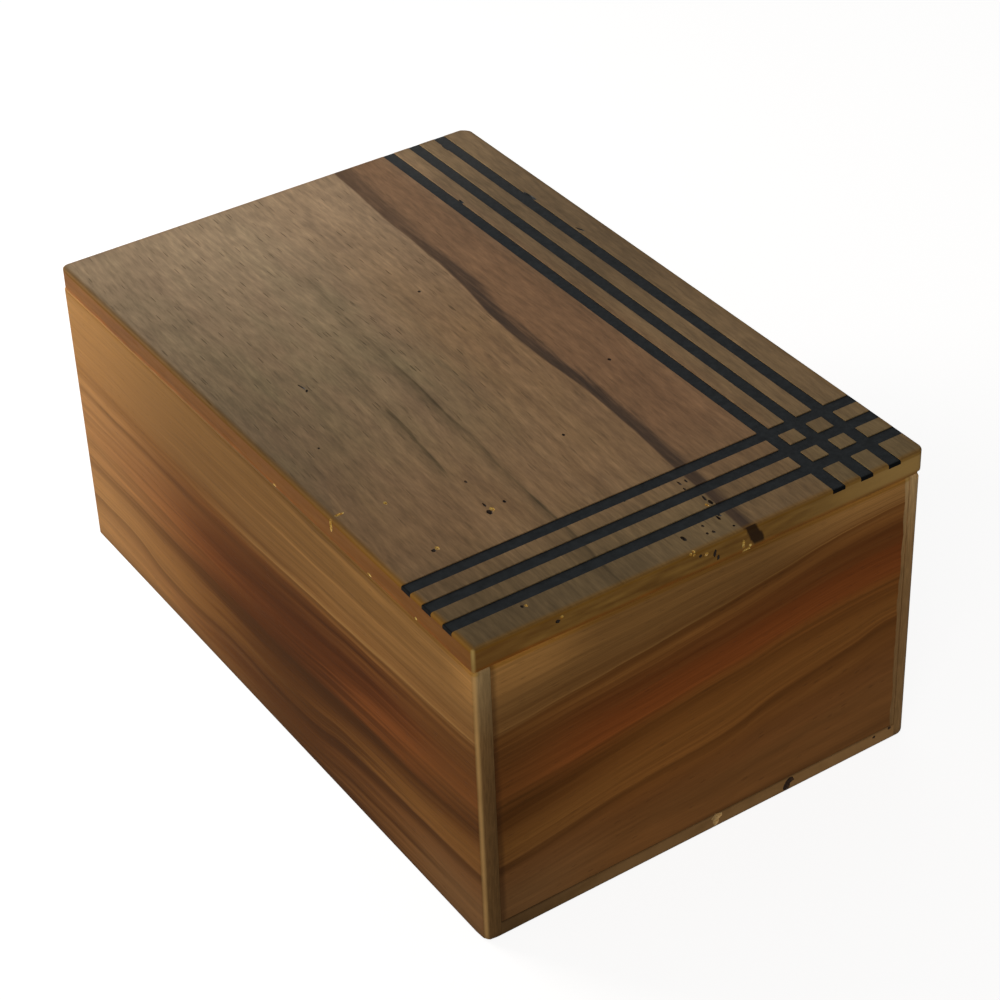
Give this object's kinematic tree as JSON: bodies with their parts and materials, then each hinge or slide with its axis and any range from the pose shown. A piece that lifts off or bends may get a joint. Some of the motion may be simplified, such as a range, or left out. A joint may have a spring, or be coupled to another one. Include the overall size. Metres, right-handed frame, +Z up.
{
  "type": "wooden puzzle box",
  "caption": "Rectangular hardwood puzzle box with a flush lid, dark inlaid stripes crossing at one corner and hidden sliding pins that lock the lid.",
  "frame": {"origin": "middle of the underside, where the box stands", "axes": "+X along the length towards the front end, where the crosswise stripes are; +Y towards the right side, where the lengthwise stripes are; +Z up, out of the lid"},
  "size_m": [0.155, 0.1, 0.0685],
  "materials": {
    "lid_wood": "satin oiled grey-brown hardwood with dark streaks",
    "side_wood": "satin oiled honey-brown hardwood with reddish and dark streaks",
    "end_wood": "satin oiled banded brown hardwood",
    "bottom_wood": "sanded brown hardwood",
    "inner_wood": "raw sanded pale hardwood",
    "inlay_black": "satin black dyed strips",
    "pin_steel": "turned steel"
  },
  "bodies": {
    "case": {"left_side": "side_wood", "right_side": "side_wood", "front_end": "end_wood", "rear_end": "end_wood", "bottom_board": "bottom_wood", "front_lock_block": "inner_wood", "rear_lock_block": "inner_wood", "front_pin_cap": "inner_wood", "rear_pin_cap": "inner_wood"},
    "lid": {"lid_panel": "lid_wood", "lengthwise_inlay_1": "inlay_black", "lengthwise_inlay_2": "inlay_black", "lengthwise_inlay_3": "inlay_black", "crosswise_inlay_1": "inlay_black", "crosswise_inlay_2": "inlay_black", "crosswise_inlay_3": "inlay_black", "left_lid_batten": "inner_wood", "right_lid_batten": "inner_wood", "front_keeper": "inner_wood", "rear_keeper": "inner_wood"},
    "front_lock_pin": {"front_lock_pin": "pin_steel"},
    "rear_lock_pin": {"rear_lock_pin": "pin_steel"}
  },
  "joints": [
    {"name": "lid_lift", "type": "slide", "parent": "case", "child": "lid", "axis": [0, 0, 1], "range_m": [0, 0.07]},
    {"name": "front_pin_slide", "type": "slide", "parent": "case", "child": "front_lock_pin", "axis": [-1, 0, 0], "range_m": [0, 0.007]},
    {"name": "rear_pin_slide", "type": "slide", "parent": "case", "child": "rear_lock_pin", "axis": [1, 0, 0], "range_m": [0, 0.007]}
  ]
}
